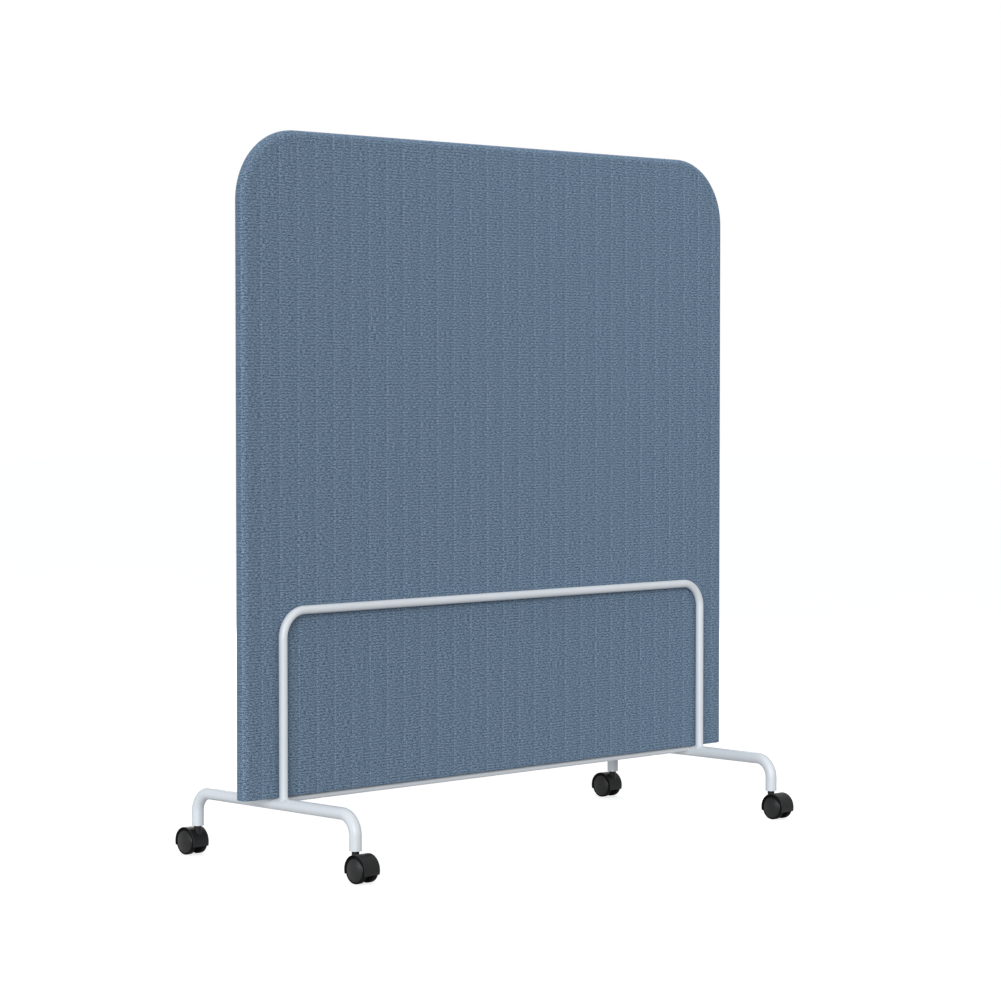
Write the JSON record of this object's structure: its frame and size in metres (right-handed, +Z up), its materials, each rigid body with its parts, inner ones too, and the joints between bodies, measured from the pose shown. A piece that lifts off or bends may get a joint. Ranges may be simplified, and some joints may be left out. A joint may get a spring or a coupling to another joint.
{
  "type": "rolling partition",
  "caption": "Free-standing upholstered screen with rounded upper corners, held between tubular hoops on two cross feet that roll on hooded twin-wheel castors.",
  "frame": {"origin": "on the floor, at the centre of the footprint, under the middle of the panel", "axes": "+Z up, +X along the panel's width, the front hoop faces -Y"},
  "size_m": [1.612, 0.658, 1.6632],
  "materials": {
    "panel_fabric": "matte",
    "foam": "matte",
    "core_wool": "matte",
    "timber": "matte",
    "closing_felt": "matte",
    "frame_paint": "satin",
    "buffer_rubber": "matte",
    "zinc_steel": "satin",
    "insert_brass": "satin",
    "hood_nylon": "satin",
    "wheel_nylon": "matte",
    "disc_nylon": "satin",
    "socket_nylon": "matte"
  },
  "bodies": {
    "frame_and_panel": {"front_cover": "panel_fabric", "rear_cover": "panel_fabric", "front_foam": "foam", "rear_foam": "foam", "left_core": "core_wool", "right_core": "core_wool", "bottom_member": "timber", "top_member": "timber", "left_stile": "timber", "right_stile": "timber", "centre_stile": "timber", "left_corner_block": "timber", "right_corner_block": "timber", "bottom_strip": "closing_felt", "left_foot_tube": "frame_paint", "right_foot_tube": "frame_paint", "front_hoop": "frame_paint", "rear_hoop": "frame_paint", "bottom_rail": "frame_paint", "frame_welds": "frame_paint", "front_hoop_pads": "buffer_rubber", "rear_hoop_pads": "buffer_rubber", "rail_screws": "zinc_steel", "rail_saddle_washers": "zinc_steel", "stem_grip_rings": "zinc_steel", "panel_inserts": "insert_brass", "front_left_castor_stem": "zinc_steel", "front_left_stem_socket": "socket_nylon", "front_right_castor_stem": "zinc_steel", "front_right_stem_socket": "socket_nylon", "rear_left_castor_stem": "zinc_steel", "rear_left_stem_socket": "socket_nylon", "rear_right_castor_stem": "zinc_steel", "rear_right_stem_socket": "socket_nylon"},
    "front_left_swivel": {"front_left_castor_hood": "hood_nylon", "front_left_castor_axle": "zinc_steel"},
    "front_left_outer_roller": {"front_left_outer_wheel": "wheel_nylon", "front_left_outer_wheel_disc": "disc_nylon"},
    "front_left_inner_roller": {"front_left_inner_wheel": "wheel_nylon", "front_left_inner_wheel_disc": "disc_nylon"},
    "front_right_swivel": {"front_right_castor_hood": "hood_nylon", "front_right_castor_axle": "zinc_steel"},
    "front_right_outer_roller": {"front_right_outer_wheel": "wheel_nylon", "front_right_outer_wheel_disc": "disc_nylon"},
    "front_right_inner_roller": {"front_right_inner_wheel": "wheel_nylon", "front_right_inner_wheel_disc": "disc_nylon"},
    "rear_left_swivel": {"rear_left_castor_hood": "hood_nylon", "rear_left_castor_axle": "zinc_steel"},
    "rear_left_outer_roller": {"rear_left_outer_wheel": "wheel_nylon", "rear_left_outer_wheel_disc": "disc_nylon"},
    "rear_left_inner_roller": {"rear_left_inner_wheel": "wheel_nylon", "rear_left_inner_wheel_disc": "disc_nylon"},
    "rear_right_swivel": {"rear_right_castor_hood": "hood_nylon", "rear_right_castor_axle": "zinc_steel"},
    "rear_right_outer_roller": {"rear_right_outer_wheel": "wheel_nylon", "rear_right_outer_wheel_disc": "disc_nylon"},
    "rear_right_inner_roller": {"rear_right_inner_wheel": "wheel_nylon", "rear_right_inner_wheel_disc": "disc_nylon"}
  },
  "joints": [
    {"name": "front_left_swivel_turn", "type": "hinge", "parent": "frame_and_panel", "child": "front_left_swivel", "pos_m": [-0.7036, -0.2732, 0.0675], "axis": [0, 0, 1], "continuous": true},
    {"name": "front_left_outer_roll", "type": "hinge", "parent": "front_left_swivel", "child": "front_left_outer_roller", "pos_m": [-0.7036, -0.2947, 0.03], "axis": [1, 0, 0], "continuous": true},
    {"name": "front_left_inner_roll", "type": "hinge", "parent": "front_left_swivel", "child": "front_left_inner_roller", "pos_m": [-0.7036, -0.2947, 0.03], "axis": [1, 0, 0], "continuous": true},
    {"name": "front_right_swivel_turn", "type": "hinge", "parent": "frame_and_panel", "child": "front_right_swivel", "pos_m": [0.7036, -0.2732, 0.0675], "axis": [0, 0, 1], "continuous": true},
    {"name": "front_right_outer_roll", "type": "hinge", "parent": "front_right_swivel", "child": "front_right_outer_roller", "pos_m": [0.7036, -0.2947, 0.03], "axis": [1, 0, 0], "continuous": true},
    {"name": "front_right_inner_roll", "type": "hinge", "parent": "front_right_swivel", "child": "front_right_inner_roller", "pos_m": [0.7036, -0.2947, 0.03], "axis": [1, 0, 0], "continuous": true},
    {"name": "rear_left_swivel_turn", "type": "hinge", "parent": "frame_and_panel", "child": "rear_left_swivel", "pos_m": [-0.7036, 0.2732, 0.0675], "axis": [0, 0, 1], "continuous": true},
    {"name": "rear_left_outer_roll", "type": "hinge", "parent": "rear_left_swivel", "child": "rear_left_outer_roller", "pos_m": [-0.7036, 0.2947, 0.03], "axis": [1, 0, 0], "continuous": true},
    {"name": "rear_left_inner_roll", "type": "hinge", "parent": "rear_left_swivel", "child": "rear_left_inner_roller", "pos_m": [-0.7036, 0.2947, 0.03], "axis": [1, 0, 0], "continuous": true},
    {"name": "rear_right_swivel_turn", "type": "hinge", "parent": "frame_and_panel", "child": "rear_right_swivel", "pos_m": [0.7036, 0.2732, 0.0675], "axis": [0, 0, 1], "continuous": true},
    {"name": "rear_right_outer_roll", "type": "hinge", "parent": "rear_right_swivel", "child": "rear_right_outer_roller", "pos_m": [0.7036, 0.2947, 0.03], "axis": [1, 0, 0], "continuous": true},
    {"name": "rear_right_inner_roll", "type": "hinge", "parent": "rear_right_swivel", "child": "rear_right_inner_roller", "pos_m": [0.7036, 0.2947, 0.03], "axis": [1, 0, 0], "continuous": true}
  ]
}
